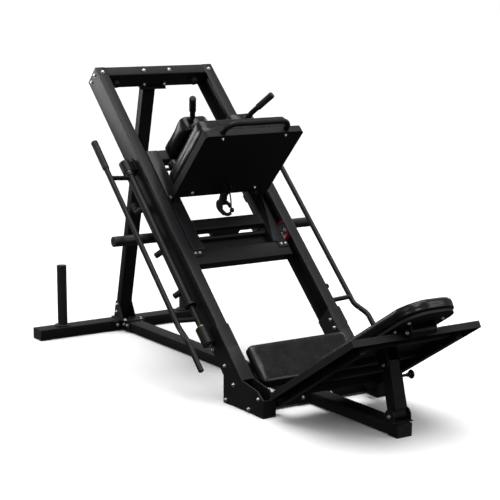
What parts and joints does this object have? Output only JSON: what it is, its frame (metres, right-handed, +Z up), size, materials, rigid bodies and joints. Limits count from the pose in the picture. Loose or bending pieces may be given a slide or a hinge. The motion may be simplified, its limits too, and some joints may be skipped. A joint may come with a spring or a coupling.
{
  "type": "leg press machine",
  "caption": "Plate-loaded 45 degree leg press and hack squat machine with an inclined roller sled, press plate, squat pads, safety levers and a reclined back platform.",
  "frame": {"origin": "on the floor, under the middle of the machine's bounding box", "axes": "+X to the right of a user who faces the sled's press plate from the back pad side seen from behind the platform, +Y towards the tall rear end, +Z up"},
  "size_m": [1.1, 2.6072, 1.41],
  "materials": {
    "axle_steel": "turned steel",
    "black_knob": "moulded black nylon",
    "board": "black painted plywood",
    "bronze": "turned bronze",
    "hub_grey": "cast alloy, grey",
    "peg_coat": "satin black tube, scuffed",
    "powder_coat": "satin black powder coat",
    "powder_coat_grey": "satin black powder coat, lighter where light grazes it",
    "press_sheet": "fine textured black powder coat",
    "rubber": "matt black moulded rubber",
    "tyre_red": "red polyurethane",
    "vinyl": "satin black vinyl upholstery",
    "zinc": "bright zinc plated"
  },
  "bodies": {
    "frame": {"rear_stabiliser": "powder_coat", "base_spine": "powder_coat", "front_stabiliser": "powder_coat", "upright": "powder_coat", "top_crossbar": "powder_coat", "left_rail": "powder_coat_grey", "right_rail": "powder_coat_grey", "left_foot": "powder_coat", "right_foot": "powder_coat", "joint_plates": "powder_coat", "rubber_feet": "rubber", "storage_pegs": "peg_coat", "bearing_blocks": "powder_coat", "bronze_bushes": "bronze", "stop_bumpers": "rubber", "seat_bracket": "powder_coat", "seat_pad": "vinyl", "frame_bolts": "zinc", "post_clevis": "powder_coat"},
    "sled": {"sled_members": "powder_coat_grey", "sled_cross_tubes": "powder_coat_grey", "weight_horns": "peg_coat", "horn_caps": "black_knob", "catch_arms": "powder_coat", "sled_brackets": "powder_coat", "roller_axles": "axle_steel", "sled_bolts": "zinc"},
    "roller_1": {"roller_tyre_1": "tyre_red", "roller_hub_1": "hub_grey"},
    "roller_2": {"roller_tyre_2": "tyre_red", "roller_hub_2": "hub_grey"},
    "roller_3": {"roller_tyre_3": "tyre_red", "roller_hub_3": "hub_grey"},
    "roller_4": {"roller_tyre_4": "tyre_red", "roller_hub_4": "hub_grey"},
    "press_plate_and_pads": {"press_plate": "press_sheet", "plate_handle": "powder_coat", "hack_pad_board": "board", "hack_pad": "vinyl", "shoulder_pads": "vinyl", "shoulder_arms": "powder_coat", "shoulder_grips": "powder_coat", "grip_sleeves": "rubber", "plate_bolts": "zinc"},
    "latch": {"latch_lever": "powder_coat"},
    "left_safety_lever": {"left_lever": "powder_coat", "left_lever_grip": "rubber", "left_catch_pegs": "rubber"},
    "right_safety_lever": {"right_lever": "powder_coat", "right_lever_grip": "rubber", "right_catch_pegs": "rubber"},
    "platform": {"platform_panel": "press_sheet", "platform_arms": "powder_coat", "platform_bolts": "zinc"},
    "post_outer_tube": {"post_outer": "powder_coat"},
    "post_inner_tube": {"post_inner": "powder_coat_grey"},
    "post_pull_pin": {"pull_pin": "black_knob"},
    "back_pad_assembly": {"back_pad": "vinyl", "back_pad_board": "board", "back_pad_bracket": "powder_coat"}
  },
  "joints": [
    {"name": "sled_travel", "type": "slide", "parent": "frame", "child": "sled", "axis": [0, 0.7193, 0.6947], "range_m": [0, 0.43]},
    {"name": "roller_1_spin", "type": "hinge", "parent": "sled", "child": "roller_1", "pos_m": [-0.301, 0.49959, 0.93996], "axis": [1, 0, 0], "continuous": true},
    {"name": "roller_2_spin", "type": "hinge", "parent": "sled", "child": "roller_2", "pos_m": [0.301, 0.49959, 0.93996], "axis": [1, 0, 0], "continuous": true},
    {"name": "roller_3_spin", "type": "hinge", "parent": "sled", "child": "roller_3", "pos_m": [-0.301, 0.19387, 0.64473], "axis": [1, 0, 0], "continuous": true},
    {"name": "roller_4_spin", "type": "hinge", "parent": "sled", "child": "roller_4", "pos_m": [0.301, 0.19387, 0.64473], "axis": [1, 0, 0], "continuous": true},
    {"name": "plate_flip", "type": "hinge", "parent": "sled", "child": "press_plate_and_pads", "pos_m": [0, 0.3077, 0.83348], "axis": [1, 0, 0], "range_deg": [0, 90]},
    {"name": "latch_swing", "type": "hinge", "parent": "press_plate_and_pads", "child": "latch", "pos_m": [0, 0.24985, 0.84157], "axis": [-1, 0, 0], "range_deg": [0, 30]},
    {"name": "left_lever_turn", "type": "hinge", "parent": "frame", "child": "left_safety_lever", "pos_m": [-0.366, 0.23826, 0.66355], "axis": [0, 0.7193, 0.6947], "range_deg": [0, 60]},
    {"name": "right_lever_turn", "type": "hinge", "parent": "frame", "child": "right_safety_lever", "pos_m": [0.366, 0.23826, 0.66355], "axis": [0, -0.7193, -0.6947], "range_deg": [0, 60]},
    {"name": "platform_tilt", "type": "hinge", "parent": "frame", "child": "platform", "pos_m": [0, -0.54484, 0.078], "axis": [-1, 0, 0], "range_deg": [0, 12]},
    {"name": "post_swing", "type": "hinge", "parent": "frame", "child": "post_outer_tube", "pos_m": [0, -1.06084, 0.083], "axis": [-1, 0, 0], "range_deg": [0, 5.16]},
    {"name": "post_extend", "type": "slide", "parent": "post_outer_tube", "child": "post_inner_tube", "axis": [0, 0.2567, 0.9665], "range_m": [0, 0.10343]},
    {"name": "pull_pin_pull", "type": "slide", "parent": "post_outer_tube", "child": "post_pull_pin", "axis": [1, 0, 0], "range_m": [0, 0.012], "stiffness_N_per_m": 600},
    {"name": "back_pad_fold", "type": "hinge", "parent": "platform", "child": "back_pad_assembly", "pos_m": [0, -1.1979, 0.46102], "axis": [1, 0, 0], "range_deg": [0, 150]}
  ],
  "couplings": [
    {"joint": "roller_1_spin", "follows": "sled_travel", "rad_per_m": -20.408},
    {"joint": "roller_2_spin", "follows": "sled_travel", "rad_per_m": -20.408},
    {"joint": "roller_3_spin", "follows": "sled_travel", "rad_per_m": -20.408},
    {"joint": "roller_4_spin", "follows": "sled_travel", "rad_per_m": -20.408},
    {"joint": "post_swing", "follows": "platform_tilt", "ratio": 0.42873},
    {"joint": "post_extend", "follows": "platform_tilt", "m_per_rad": 0.49375}
  ]
}
